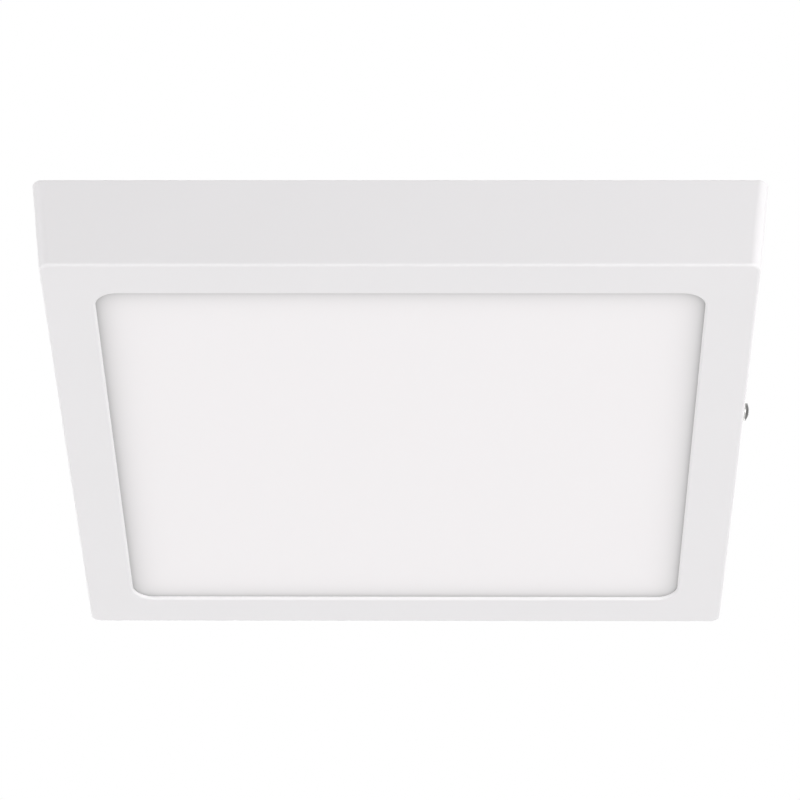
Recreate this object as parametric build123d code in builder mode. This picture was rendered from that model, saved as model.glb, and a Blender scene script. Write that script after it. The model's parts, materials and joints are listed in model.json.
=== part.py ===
from build123d import *
import math
import os

# A square surface-mount LED light. The ceiling is the plane z = 0 and the lamp hangs below it.
# X runs from the hooked side to the screwed side. All sizes are in millimetres.

# Housing: a die-cast shell whose walls flare out towards the ceiling
face_width = 291.0
border_width = 20.8
wall_flare = 4.5
wall = 2.0
lip_thickness = 1.5
rim_gap = 0.8
face_corner_radius = 4.5
rim_corner_radius = 4.5
window_corner_radius = 9.5
face_edge_radius = 1.2
rim_edge_radius = 0.5
window_edge_radius = 1.1

# Inside the housing: the rib round the light box and the blocks that take the plate screws
channel_width = 5.5
rib_thickness = 2.0
corner_stop_length = 4.2
screw_block_width = 9.0
screw_block_offset = 70.0
root_share = 0.25

# Sheets of the light box, from the window upwards
diffuser_thickness = 2.0
light_guide_thickness = 3.0
reflector_thickness = 0.5
pressure_sheet_thickness = 3.0
sheet_play = 0.3
lead_channel = 9.0

# Light strips on the left and right ribs
tape_thickness = 0.2
tape_inset = 0.5
led_board_thickness = 1.0
led_board_play = 0.7
led_depth = 0.8
led_length = 3.5
led_height = 2.8
led_pitch = 4.8
led_gap = 0.5

# Back plate
plate_thickness = 1.0
plate_play = 0.8
bead_inset = 8.0
bead_width = 6.0
bead_height = 1.0
bead_corner_radius = 12.0
bead_edge_share = 0.8
bead_groove_share = 0.25

# Driver
driver_length = 104.0
driver_width = 42.0
driver_height = 22.0
driver_headroom = 7.0
driver_wall = 1.8
driver_lid_thickness = 1.8
driver_lid_lip = 2.6
driver_corner_radius = 3.0
driver_edge_radius = 0.8
driver_fit = 0.2
catch_count = 3
catch_pitch = 34.0
catch_width = 7.0
catch_height = 0.8
catch_depth = 1.4
catch_play = 0.15
lid_field_margin = 6.0
lid_field_depth = 0.5
ear_length = 11.0
ear_width = 14.0
ear_corner_radius = 3.0
ear_thickness = 2.5
board_thickness = 1.6
board_play = 1.2
board_post_height = 3.0
board_post_radius = 2.0
connector_length = 8.0
connector_margin = 2.0
connector_height = 8.0
component_headroom = 1.3
capacitor_radius = 5.0
capacitor_gap = 2.0
choke_radius = 5.0
choke_height = 9.0
choke_groove = 1.2
choke_flange = 1.5
transformer_length = 20.0
transformer_width = 18.0
transformer_step = 1.5
transformer_winding = 10.0
chip_length = 8.0
chip_width = 5.0
chip_height = 1.8
chip_gap = 6.0

# Supply terminal with three poles and three release buttons
terminal_length = 24.0
terminal_height = 14.0
pole_pitch = 9.5
pole_count = 3
terminal_end_wall = 1.75
terminal_edge_radius = 0.6
terminal_base_thickness = 2.5
terminal_flange = 8.0
terminal_flange_radius = 2.0
chamber_length = 15.0
chamber_width = 6.5
chamber_height = 8.0
entry_play = 0.5
entry_height = 4.5
entry_funnel = 0.8
bar_thickness = 1.0
clip_thickness = 0.6
clip_width = 5.0
clip_bend_radius = 0.8
clip_leg_rise = 0.5
clip_tip_drop = 0.85
button_length = 4.2
button_width = 5.2
button_play = 0.2
button_stand = 1.6
button_foot = 1.0
button_shoulder = 0.5
button_offset = 3.6
button_edge_radius = 0.5
button_slot_width = 0.9
button_slot_length = 3.4
button_slot_depth = 0.7

# Leads
mains_lead_radius = 1.2
output_lead_radius = 0.8
lead_play = 0.15
lead_hole_play = 0.3
bend_share = 0.45
mains_lead_span = 34.0
mains_lead_spread = 5.0
lead_straight = 10.0
output_lead_spread = 2.2
output_bend_radius = 5.0
grommet_run = 14.0
strip_link_inset = 2.5
strip_link_pitch = 3.0
strip_link_gap = 2.0

# Rubber rings for the output leads and for the supply cable
grommet_wall = 1.7
grommet_flange = 2.0
grommet_upper_flange = 1.4
bush_bore_radius = 6.0
bush_wall = 4.0
bush_flange = 2.5
bush_lower_flange = 2.5
bush_upper_recess = 0.4
rubber_fit = 0.1
rubber_edge_radius = 0.35
rubber_edge_share = 0.4

# Earth point on the back plate
earth_run = 17.0
earth_rise = 34.0
earth_ring_radius = 4.2
earth_ring_thickness = 0.8
earth_barrel_wall = 0.6
earth_barrel_length = 6.0
earth_barrel_distance = 7.0

# Ceiling bracket: a folded steel strip
bracket_thickness = 1.5
bracket_width = 46.0
bracket_flange_drop = 6.0
bracket_flange_setback = 22.0
bend_radius = 1.5
ceiling_slot_spacing = 120.0
ceiling_slot_width = 5.5
ceiling_slot_length = 22.0
tab_gap = 0.6
tab_reach = 9.0
electronics_gap = 14.0

# Hook on the left: a lug of the housing lies on a tongue of the bracket
hook_drop = 13.0
lug_depth = 4.0
lug_height = 6.0
lug_width = 30.0
hook_play = 0.5

# Screw on the right, square to the drafted wall, into a nut on the bracket's tab
screw_drop = 16.8
side_screw_radius = 2.0
side_screw_length = 10.5
side_head_radius = 4.2
side_head_height = 1.9
side_washer_radius = 4.6
side_washer_thickness = 0.7
seat_gap = 0.05
thread_play = 0.06
washer_play = 0.1
wall_hole_play = 0.6
tab_hole_play = 0.4
nut_radius = 4.4
nut_height = 3.0

# Small screws
plate_screw_radius = 1.25
plate_screw_tip_gap = 3.0
plate_screw_head_radius = 2.7
plate_screw_head_height = 1.9
screw_tip_gap = 1.0
earth_screw_radius = 2.0
earth_screw_head_radius = 3.6
earth_screw_head_height = 2.4
pilot_play = 0.05
passage_play = 0.35
pocket_play = 1.8
tip_chamfer_share = 0.35
recess_reach_share = 0.62
recess_width_share = 0.22
recess_depth_share = 0.7
recess_taper_angle = 15.0
head_rim_share = 0.3

# Heights, worked out from the ceiling down
light_box_height = (
    diffuser_thickness + light_guide_thickness + reflector_thickness + pressure_sheet_thickness
)
overall_height = lip_thickness + light_box_height + plate_thickness + driver_height + driver_headroom
face_z = -overall_height
rim_z = -rim_gap
shelf_z = face_z + lip_thickness
diffuser_top_z = shelf_z + diffuser_thickness
guide_top_z = diffuser_top_z + light_guide_thickness
reflector_top_z = guide_top_z + reflector_thickness
plate_bottom_z = reflector_top_z + pressure_sheet_thickness
plate_top_z = plate_bottom_z + plate_thickness
plate_screw_length = plate_top_z - shelf_z - plate_screw_tip_gap
screw_reach = plate_top_z - reflector_top_z - screw_tip_gap
tab_drop = screw_drop + tab_reach

# Widths, worked out from the face inwards
rim_width = face_width + 2 * wall_flare
window_width = face_width - 2 * border_width
draft_angle = math.degrees(math.atan2(wall_flare, rim_z - face_z))
draft_cosine = math.cos(math.radians(draft_angle))
draft_sine = math.sin(math.radians(draft_angle))


def outer_half(z):
    """Half the housing's outside width at height z."""
    return rim_width / 2 - wall_flare * (rim_z - z) / (rim_z - face_z)


def inner_half(z):
    """Half the housing's inside width at height z."""
    return outer_half(z) - wall


rib_outer = inner_half(shelf_z) - channel_width
rib_inner = rib_outer - rib_thickness
board_face = rib_inner - tape_thickness - led_board_thickness
led_face = board_face - led_depth
sheet_half_x = led_face - led_gap
sheet_half_y = rib_inner - sheet_play
strip_half = rib_inner - corner_stop_length - led_board_play
plate_half = inner_half(plate_bottom_z) - plate_play
block_centre = (rib_outer + inner_half(shelf_z)) / 2

# Fits round the leads
entry_width = 2 * (mains_lead_radius + entry_play)
connector_width = 2 * (mains_lead_spread + connector_margin)
earth_barrel_radius = mains_lead_radius + earth_barrel_wall
clip_leg_height = entry_height + mains_lead_radius + clip_leg_rise
grommet_bore_radius = output_lead_spread + output_lead_radius + lead_hole_play
grommet_hole_radius = grommet_bore_radius + grommet_wall
grommet_lower_flange = pressure_sheet_thickness - 2 * (output_lead_radius + lead_play)
bush_hole_radius = bush_bore_radius + bush_wall

# The row of electrics on the back plate, on the far side of the bracket
row_length = terminal_length + mains_lead_span + driver_length + ear_length + grommet_run
row_y = bracket_width / 2 + electronics_gap + driver_width / 2
terminal_x = terminal_length / 2 - row_length / 2
terminal_right = terminal_x + terminal_length / 2
driver_left = terminal_right + mains_lead_span
driver_x = driver_left + driver_length / 2
driver_right = driver_left + driver_length
grommet_x = row_length / 2
terminal_width = pole_count * pole_pitch + 2 * terminal_end_wall
terminal_base_top_z = plate_top_z + terminal_base_thickness
terminal_lead_z = terminal_base_top_z + entry_height
driver_floor_z = plate_top_z + driver_wall
driver_rim_z = plate_top_z + driver_height - driver_lid_thickness
catch_z = driver_rim_z - driver_lid_lip + catch_height
board_bottom_z = driver_floor_z + board_post_height
board_top_z = board_bottom_z + board_thickness
board_length = driver_length - 2 * driver_wall - 2 * board_play
board_width = driver_width - 2 * driver_wall - 2 * board_play
driver_lead_z = board_top_z + connector_height / 2
earth_x = terminal_right + earth_run
earth_y = row_y + earth_rise
lead_under_z = reflector_top_z + output_lead_radius + lead_play

# Places of the screws
block_places = []
for side in (-1, 1):
    for along in (-screw_block_offset, screw_block_offset):
        block_places.append((side * block_centre, along))
        block_places.append((along, side * block_centre))
driver_screw_places = [
    (driver_left - ear_length / 2, row_y),
    (driver_right + ear_length / 2, row_y),
]
terminal_screw_places = [
    (terminal_x, row_y + side * (terminal_width + terminal_flange) / 2) for side in (-1, 1)
]
pole_ys = [row_y + (pole - (pole_count - 1) / 2) * pole_pitch for pole in range(pole_count)]

# The side screw stands square on the outside of the right wall
screw_plane = Plane(
    origin=(outer_half(-screw_drop), 0, -screw_drop),
    x_dir=(0, 1, 0),
    z_dir=(draft_cosine, 0, -draft_sine),
)
tab_depth = (wall + tab_gap) * draft_cosine
nut_depth = tab_depth + bracket_thickness

os.makedirs("parts", exist_ok=True)


def make_screw(head_radius, head_height, shank_radius, shank_length):
    """A screw with a domed head and a cross recess, its head on the XY plane and its shank below."""
    reach = 2 * head_radius * recess_reach_share
    width = 2 * head_radius * recess_width_share
    rim = (head_radius, head_height * head_rim_share)
    with BuildPart() as screw:
        with BuildSketch(Plane.XZ):
            with BuildLine():
                TangentArc((0, head_height), rim, tangent=(1, 0))
                Polyline(rim, (head_radius, 0), (0, 0), (0, head_height))
            make_face()
        revolve(axis=Axis.Z)
        with BuildSketch(Plane.XY):
            Circle(shank_radius)
        extrude(amount=-shank_length)
        chamfer(screw.faces().sort_by(Axis.Z)[0].edges(), length=shank_radius * tip_chamfer_share)
        with BuildSketch(Plane.XY.offset(head_height)):
            Rectangle(reach, width)
            Rectangle(width, reach)
        recess_depth = head_height * recess_depth_share
        extrude(amount=-recess_depth, taper=recess_taper_angle, mode=Mode.SUBTRACT)
    return screw.part


def make_ring(bore, hole, flange, thickness, lower, upper):
    """A grooved rubber ring, its groove between z = 0 and z = thickness."""
    with BuildPart() as ring:
        with BuildSketch(Plane.XY.offset(-lower)):
            Circle(hole + flange)
        extrude(amount=lower)
        with BuildSketch(Plane.XY):
            Circle(hole - rubber_fit)
        extrude(amount=thickness)
        if upper > 0:
            with BuildSketch(Plane.XY.offset(thickness)):
                Circle(hole + flange)
            extrude(amount=upper)
        outer_rims = ring.edges().filter_by(GeomType.CIRCLE).sort_by(Axis.Z)
        edge_radius = min(rubber_edge_radius, lower * rubber_edge_share)
        fillet([outer_rims[0], outer_rims[-1]], radius=edge_radius)
        with BuildSketch(Plane.XY.offset(-lower)):
            Circle(bore)
        extrude(amount=lower + thickness + upper, mode=Mode.SUBTRACT)
    return ring.part


def widest_radii(points):
    """The largest bend radius that the two runs beside each corner leave room for."""
    radii = []
    corners = [Vector(*point) for point in points]
    for before, corner, after in zip(corners, corners[1:], corners[2:]):
        turn = math.radians((corner - before).get_angle(after - corner))
        shorter = min((corner - before).length, (after - corner).length)
        radii.append(bend_share * shorter / math.tan(turn / 2))
    return radii


def make_lead(points, radii, radius):
    """A round lead swept along straight runs that are joined by tangent arcs."""
    with BuildLine() as route:
        FilletPolyline(*points, radius=radii)
    with BuildPart() as lead:
        with BuildSketch(Plane(origin=route.line @ 0, z_dir=route.line % 0)):
            Circle(radius)
        sweep(path=route.line)
    expected = math.pi * radius**2 * route.wires()[0].length
    rounded_radii = [round(value, 1) for value in radii]
    print(f"lead volume over section times length {lead.part.volume / expected:.4f}, radii {rounded_radii}")
    return lead.part


# Housing: the white die-cast shell with its face border and window
with BuildPart() as housing:
    with BuildSketch(Plane.XY.offset(face_z)):
        RectangleRounded(face_width, face_width, face_corner_radius)
    with BuildSketch(Plane.XY.offset(rim_z)):
        RectangleRounded(rim_width, rim_width, rim_corner_radius)
    loft(ruled=True)
    fillet(housing.faces().sort_by(Axis.Z)[0].edges(), radius=face_edge_radius)
    fillet(housing.faces().sort_by(Axis.Z)[-1].edges(), radius=rim_edge_radius)
    with BuildSketch(Plane.XY.offset(shelf_z)):
        RectangleRounded(2 * inner_half(shelf_z), 2 * inner_half(shelf_z), face_corner_radius - wall)
    with BuildSketch(Plane.XY.offset(rim_z)):
        RectangleRounded(rim_width - 2 * wall, rim_width - 2 * wall, rim_corner_radius - wall)
    loft(ruled=True, mode=Mode.SUBTRACT)
    with BuildSketch(Plane.XY.offset(face_z)):
        RectangleRounded(window_width, window_width, window_corner_radius)
    extrude(amount=lip_thickness, mode=Mode.SUBTRACT)
    fillet(housing.faces().sort_by(Axis.Z)[0].inner_wires()[0].edges(), radius=window_edge_radius)
    # Rib round the light box, with stops that keep the sheets off the LEDs
    with BuildSketch(Plane.XY.offset(shelf_z)):
        Rectangle(2 * rib_outer, 2 * rib_outer)
        Rectangle(2 * rib_inner, 2 * rib_inner, mode=Mode.SUBTRACT)
        stop_depth = rib_inner - sheet_half_x - sheet_play
        with GridLocations(2 * rib_inner - stop_depth, 2 * rib_inner - corner_stop_length, 2, 2):
            Rectangle(stop_depth, corner_stop_length)
    extrude(amount=plate_bottom_z - shelf_z)
    # Screw blocks that fill the channel between the rib and the wall
    with BuildSketch(Plane.XY.offset(shelf_z)):
        block_start = rib_outer - rib_thickness / 2
        block_end = inner_half(plate_bottom_z) + wall * root_share
        for side_x, side_y in block_places:
            across_x = abs(side_x) > abs(side_y)
            middle = math.copysign((block_start + block_end) / 2, side_x if across_x else side_y)
            with Locations((middle, side_y) if across_x else (side_x, middle)):
                if across_x:
                    Rectangle(block_end - block_start, screw_block_width)
                else:
                    Rectangle(screw_block_width, block_end - block_start)
    extrude(amount=plate_bottom_z - shelf_z)
    with BuildSketch(Plane.XY.offset(plate_bottom_z)):
        with Locations(*block_places):
            Circle(plate_screw_radius + pilot_play)
    extrude(amount=shelf_z - plate_bottom_z, mode=Mode.SUBTRACT)
    # Lug on the left wall that lies on the bracket's tongue
    with BuildSketch(Plane.XY.offset(-hook_drop)):
        lug_outer = inner_half(lug_height - hook_drop) + wall * root_share
        lug_inner = inner_half(-hook_drop) - lug_depth
        with Locations((-(lug_outer + lug_inner) / 2, 0)):
            Rectangle(lug_outer - lug_inner, lug_width)
    extrude(amount=lug_height)
    # Hole for the side screw
    with BuildSketch(screw_plane):
        Circle(side_screw_radius + wall_hole_play)
    extrude(amount=wall + tab_gap, both=True, mode=Mode.SUBTRACT)
housing.part.label = "housing"
export_step(housing.part, "parts/housing.step")

# Diffuser: the opal sheet that lies on the face border
with BuildPart() as diffuser:
    with BuildSketch(Plane.XY.offset(shelf_z)):
        Rectangle(2 * sheet_half_x, 2 * sheet_half_y)
    extrude(amount=diffuser_thickness)
diffuser.part.label = "diffuser"
export_step(diffuser.part, "parts/diffuser.step")

# Light guide: the clear plate that the LEDs shine into
with BuildPart() as light_guide:
    with BuildSketch(Plane.XY.offset(diffuser_top_z)):
        Rectangle(2 * sheet_half_x, 2 * sheet_half_y)
    extrude(amount=light_guide_thickness)
light_guide.part.label = "light_guide"
export_step(light_guide.part, "parts/light_guide.step")

# Reflector sheet: the white film behind the light guide
with BuildPart() as reflector_sheet:
    with BuildSketch(Plane.XY.offset(guide_top_z)):
        Rectangle(2 * sheet_half_x, 2 * sheet_half_y)
    extrude(amount=reflector_thickness)
reflector_sheet.part.label = "reflector_sheet"
export_step(reflector_sheet.part, "parts/reflector_sheet.step")

# Pressure sheet: expanded foam that keeps the sheets together, with room for screw tips and leads
pressure_half_x = sheet_half_x - lead_channel
link_ys = [strip_half - strip_link_inset - number * strip_link_pitch for number in range(2)]
pressure_half_y = link_ys[-1] - output_lead_radius - strip_link_gap
with BuildPart() as pressure_sheet:
    with BuildSketch(Plane.XY.offset(reflector_top_z)):
        Rectangle(2 * pressure_half_x, 2 * pressure_half_y)
        with Locations(*driver_screw_places, *terminal_screw_places):
            Circle(plate_screw_radius + pocket_play, mode=Mode.SUBTRACT)
        with Locations((earth_x, earth_y)):
            Circle(earth_screw_radius + pocket_play, mode=Mode.SUBTRACT)
        slot_start = grommet_x - grommet_hole_radius - grommet_flange - pocket_play
        slot_width = 2 * (grommet_hole_radius + grommet_flange + pocket_play)
        with Locations(((slot_start + sheet_half_x) / 2, row_y)):
            Rectangle(sheet_half_x - slot_start, slot_width, mode=Mode.SUBTRACT)
    extrude(amount=pressure_sheet_thickness)
pressure_sheet.part.label = "pressure_sheet"
export_step(pressure_sheet.part, "parts/pressure_sheet.step")

# Tapes: thermal tape that sticks each LED board to its rib
strip_bottom_z = shelf_z + led_board_play
strip_height = plate_bottom_z - led_board_play - strip_bottom_z
with BuildPart() as board_tapes:
    for side in (-1, 1):
        with BuildSketch(Plane.XY.offset(strip_bottom_z + tape_inset)):
            with Locations((side * (rib_inner - tape_thickness / 2), 0)):
                Rectangle(tape_thickness, 2 * (strip_half - tape_inset))
        extrude(amount=strip_height - 2 * tape_inset)
board_tapes.part.label = "board_tapes"
export_step(board_tapes.part, "parts/board_tapes.step")

# LED boards and their rows of LEDs, which face the edges of the light guide
led_count = int((2 * strip_half - led_length) / led_pitch)
led_middle_z = (diffuser_top_z + guide_top_z) / 2
for side, side_name in ((-1, "left"), (1, "right")):
    with BuildPart() as led_board:
        with BuildSketch(Plane.XY.offset(strip_bottom_z)):
            with Locations((side * (board_face + led_board_thickness / 2), 0)):
                Rectangle(led_board_thickness, 2 * strip_half)
        extrude(amount=strip_height)
    led_board.part.label = f"led_board_{side_name}"
    export_step(led_board.part, f"parts/led_board_{side_name}.step")
    with BuildPart() as leds:
        with BuildSketch(Plane.XY.offset(led_middle_z - led_height / 2)):
            with Locations((side * (led_face + led_depth / 2), 0)):
                with GridLocations(0, led_pitch, 1, led_count):
                    Rectangle(led_depth, led_length)
        extrude(amount=led_height)
    leds.part.label = f"leds_{side_name}"
    export_step(leds.part, f"parts/leds_{side_name}.step")

# Back plate: the sheet that closes the light box, stiffened by a pressed bead
bead_outer = 2 * (plate_half - bead_inset)
bead_inner = bead_outer - 2 * bead_width
with BuildPart() as back_plate:
    with BuildSketch(Plane.XY.offset(plate_bottom_z)):
        RectangleRounded(2 * plate_half, 2 * plate_half, face_corner_radius - wall)
    extrude(amount=plate_thickness)
    with BuildSketch(Plane.XY.offset(plate_top_z)):
        RectangleRounded(bead_outer, bead_outer, bead_corner_radius)
        RectangleRounded(bead_inner, bead_inner, bead_corner_radius - bead_width, mode=Mode.SUBTRACT)
    extrude(amount=bead_height)
    fillet(back_plate.faces().sort_by(Axis.Z)[-1].edges(), radius=bead_height * bead_edge_share)
    with BuildSketch(Plane.XY.offset(plate_bottom_z)):
        groove = bead_width * bead_groove_share
        RectangleRounded(bead_outer - 2 * groove, bead_outer - 2 * groove, bead_corner_radius - groove)
        RectangleRounded(
            bead_inner + 2 * groove,
            bead_inner + 2 * groove,
            bead_corner_radius - bead_width + groove,
            mode=Mode.SUBTRACT,
        )
    extrude(amount=bead_height, mode=Mode.SUBTRACT)
    with BuildSketch(Plane.XY.offset(plate_bottom_z)):
        with Locations(*block_places):
            Circle(plate_screw_radius + passage_play)
        with Locations(*driver_screw_places, *terminal_screw_places):
            Circle(plate_screw_radius + pilot_play)
        with Locations((earth_x, earth_y)):
            Circle(earth_screw_radius + pilot_play)
        with Locations((grommet_x, row_y)):
            Circle(grommet_hole_radius)
    extrude(amount=plate_thickness, mode=Mode.SUBTRACT)
back_plate.part.label = "back_plate"
export_step(back_plate.part, "parts/back_plate.step")

# Screws that hold the back plate on the housing's blocks
with BuildPart() as back_plate_screws:
    with Locations(*[(x, y, plate_top_z) for x, y in block_places]):
        add(
            make_screw(
                plate_screw_head_radius, plate_screw_head_height, plate_screw_radius, plate_screw_length
            )
        )
back_plate_screws.part.label = "back_plate_screws"
export_step(back_plate_screws.part, "parts/back_plate_screws.step")

# Grommet in the back plate, for the output leads
with BuildPart() as lead_grommet:
    with Locations((grommet_x, row_y, plate_bottom_z)):
        add(
            make_ring(
                grommet_bore_radius,
                grommet_hole_radius,
                grommet_flange,
                plate_thickness,
                grommet_lower_flange,
                grommet_upper_flange,
            )
        )
lead_grommet.part.label = "lead_grommet"
export_step(lead_grommet.part, "parts/lead_grommet.step")

# Driver case: a moulded tray with an ear at each end
driver_plane = Plane(origin=(driver_x, row_y, plate_top_z))
with BuildPart() as driver_case:
    with BuildSketch(driver_plane):
        RectangleRounded(driver_length, driver_width, driver_corner_radius)
    extrude(amount=driver_height - driver_lid_thickness)
    with BuildSketch(driver_plane.offset(driver_wall)):
        RectangleRounded(
            driver_length - 2 * driver_wall,
            driver_width - 2 * driver_wall,
            driver_corner_radius - driver_wall,
        )
    extrude(amount=driver_height, mode=Mode.SUBTRACT)
    with BuildSketch(driver_plane):
        RectangleRounded(driver_length + 2 * ear_length, ear_width, ear_corner_radius)
        Rectangle(driver_length - 2 * driver_wall, driver_width, mode=Mode.SUBTRACT)
    extrude(amount=ear_thickness)
    with BuildSketch(driver_plane):
        with Locations((-driver_length / 2 - ear_length / 2, 0), (driver_length / 2 + ear_length / 2, 0)):
            Circle(plate_screw_radius + passage_play)
    extrude(amount=ear_thickness, mode=Mode.SUBTRACT)
    with BuildSketch(driver_plane.offset(driver_wall)):
        with GridLocations(
            board_length - 2 * board_post_radius, board_width - 2 * board_post_radius, 2, 2
        ):
            Circle(board_post_radius)
    extrude(amount=board_post_height)
    # Round holes in the end walls for the leads
    with BuildSketch(Plane(origin=(driver_left, row_y, driver_lead_z), x_dir=(0, 1, 0), z_dir=(1, 0, 0))):
        with Locations((-mains_lead_spread, 0), (mains_lead_spread, 0)):
            Circle(mains_lead_radius + lead_hole_play)
    extrude(amount=driver_wall, mode=Mode.SUBTRACT)
    with BuildSketch(Plane(origin=(driver_right, row_y, driver_lead_z), x_dir=(0, 1, 0), z_dir=(1, 0, 0))):
        with Locations((-output_lead_spread, 0), (output_lead_spread, 0)):
            Circle(output_lead_radius + lead_hole_play)
    extrude(amount=-driver_wall, mode=Mode.SUBTRACT)
    # Windows in the long walls for the catches of the lid
    with BuildSketch(Plane(origin=(driver_x, row_y, catch_z), x_dir=(1, 0, 0), z_dir=(0, 1, 0))):
        with GridLocations(catch_pitch, 0, catch_count, 1):
            Rectangle(catch_width + 2 * catch_play, catch_height + 2 * catch_play)
    extrude(amount=driver_width / 2, both=True, mode=Mode.SUBTRACT)
driver_case.part.label = "driver_case"
export_step(driver_case.part, "parts/driver_case.step")

# Driver lid: snaps onto the tray by its catches, with a sunk field on top
with BuildPart() as driver_lid:
    with BuildSketch(Plane(origin=(driver_x, row_y, driver_rim_z))):
        RectangleRounded(driver_length, driver_width, driver_corner_radius)
    extrude(amount=driver_lid_thickness)
    fillet(driver_lid.faces().sort_by(Axis.Z)[-1].edges(), radius=driver_edge_radius)
    lip_length = driver_length - 2 * driver_wall - 2 * driver_fit
    lip_width = driver_width - 2 * driver_wall - 2 * driver_fit
    with BuildSketch(Plane(origin=(driver_x, row_y, driver_rim_z))):
        RectangleRounded(lip_length, lip_width, driver_corner_radius - driver_wall)
    extrude(amount=-driver_lid_lip)
    catch_reach = lip_width / 2 + driver_fit + catch_depth
    with BuildSketch(Plane(origin=(driver_x, row_y, catch_z), x_dir=(1, 0, 0), z_dir=(0, 1, 0))):
        with GridLocations(catch_pitch, 0, catch_count, 1):
            Rectangle(catch_width, catch_height)
    extrude(amount=catch_reach, both=True)
    with BuildSketch(Plane(origin=(driver_x, row_y, driver_rim_z))):
        Rectangle(lip_length - 2 * driver_wall, lip_width - 2 * driver_wall)
    extrude(amount=-driver_lid_lip, mode=Mode.SUBTRACT)
    with BuildSketch(Plane(origin=(driver_x, row_y, plate_top_z + driver_height))):
        RectangleRounded(
            driver_length - 2 * lid_field_margin, driver_width - 2 * lid_field_margin, driver_corner_radius
        )
    extrude(amount=-lid_field_depth, mode=Mode.SUBTRACT)
driver_lid.part.label = "driver_lid"
export_step(driver_lid.part, "parts/driver_lid.step")

# Driver board and the parts that stand on it
board_plane = Plane(origin=(driver_x, row_y, board_top_z))
with BuildPart() as driver_board:
    with BuildSketch(board_plane):
        Rectangle(board_length, board_width)
    extrude(amount=-board_thickness)
driver_board.part.label = "driver_board"
export_step(driver_board.part, "parts/driver_board.step")

# Connectors at the two ends of the board, where the leads are fixed
connector_x = board_length / 2 - connector_length / 2
with BuildPart() as driver_connectors:
    with BuildSketch(board_plane):
        with Locations((-connector_x, 0), (connector_x, 0)):
            Rectangle(connector_length, connector_width)
    extrude(amount=connector_height)
driver_connectors.part.label = "driver_connectors"
export_step(driver_connectors.part, "parts/driver_connectors.step")

# Input capacitors, beside the input connector
row_lengths = [
    connector_length,
    2 * capacitor_radius,
    2 * choke_radius,
    transformer_length,
    chip_length,
    connector_length,
]
part_spacing = (board_length - sum(row_lengths)) / (len(row_lengths) - 1)
component_height = driver_rim_z - board_top_z - component_headroom
capacitor_pitch = 2 * capacitor_radius + capacitor_gap
capacitor_x = -board_length / 2 + connector_length + part_spacing + capacitor_radius
with BuildPart() as driver_capacitors:
    with BuildSketch(board_plane):
        with Locations((capacitor_x, -capacitor_pitch / 2), (capacitor_x, capacitor_pitch / 2)):
            Circle(capacitor_radius)
    extrude(amount=component_height)
driver_capacitors.part.label = "driver_capacitors"
export_step(driver_capacitors.part, "parts/driver_capacitors.step")

# Filter choke: a drum core
choke_x = capacitor_x + capacitor_radius + part_spacing + choke_radius
with BuildPart() as driver_choke:
    choke_foot = (driver_x + choke_x, row_y, board_top_z)
    with BuildSketch(Plane(origin=choke_foot, x_dir=(1, 0, 0), z_dir=(0, -1, 0))):
        with BuildLine():
            Polyline(
                (0, 0),
                (choke_radius, 0),
                (choke_radius, choke_flange),
                (choke_radius - choke_groove, choke_flange),
                (choke_radius - choke_groove, choke_height - choke_flange),
                (choke_radius, choke_height - choke_flange),
                (choke_radius, choke_height),
                (0, choke_height),
                close=True,
            )
        make_face()
    revolve(axis=Axis(choke_foot, (0, 0, 1)))
driver_choke.part.label = "driver_choke"
export_step(driver_choke.part, "parts/driver_choke.step")

# Transformer: a ferrite core round a wound bobbin
transformer_x = choke_x + choke_radius + part_spacing + transformer_length / 2
with BuildPart() as driver_transformer:
    with BuildSketch(board_plane):
        with Locations((transformer_x, 0)):
            Rectangle(transformer_length, transformer_winding)
    extrude(amount=component_height)
    with BuildSketch(board_plane):
        with Locations((transformer_x, 0)):
            Rectangle(transformer_winding, transformer_width)
    extrude(amount=component_height - transformer_step)
driver_transformer.part.label = "driver_transformer"
export_step(driver_transformer.part, "parts/driver_transformer.step")

# Chips between the transformer and the output connector
chip_pitch = chip_width + chip_gap
chip_x = transformer_x + transformer_length / 2 + part_spacing + chip_length / 2
with BuildPart() as driver_chips:
    with BuildSketch(board_plane):
        with Locations((chip_x, -chip_pitch / 2), (chip_x, chip_pitch / 2)):
            Rectangle(chip_length, chip_width)
    extrude(amount=chip_height)
driver_chips.part.label = "driver_chips"
export_step(driver_chips.part, "parts/driver_chips.step")

# Screws through the ears of the driver and through the flanges of the terminal
for screw_name, screw_places, seat_height in (
    ("driver_screws", driver_screw_places, ear_thickness),
    ("terminal_screws", terminal_screw_places, terminal_base_thickness),
):
    fixing_screw_length = seat_height + screw_reach
    with BuildPart() as fixing_screws:
        with Locations(*[(x, y, plate_top_z + seat_height) for x, y in screw_places]):
            add(
                make_screw(
                    plate_screw_head_radius, plate_screw_head_height, plate_screw_radius, fixing_screw_length
                )
            )
    fixing_screws.part.label = screw_name
    export_step(fixing_screws.part, f"parts/{screw_name}.step")

# Terminal base: the insulating foot with a screw flange at each end
terminal_plane = Plane(origin=(terminal_x, row_y, plate_top_z))
with BuildPart() as terminal_base:
    with BuildSketch(terminal_plane):
        RectangleRounded(terminal_length, terminal_width + 2 * terminal_flange, terminal_flange_radius)
    extrude(amount=terminal_base_thickness)
    with BuildSketch(Plane.XY.offset(plate_top_z)):
        with Locations(*terminal_screw_places):
            Circle(plate_screw_radius + passage_play)
    extrude(amount=terminal_base_thickness, mode=Mode.SUBTRACT)
terminal_base.part.label = "terminal_base"
export_step(terminal_base.part, "parts/terminal_base.step")

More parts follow.
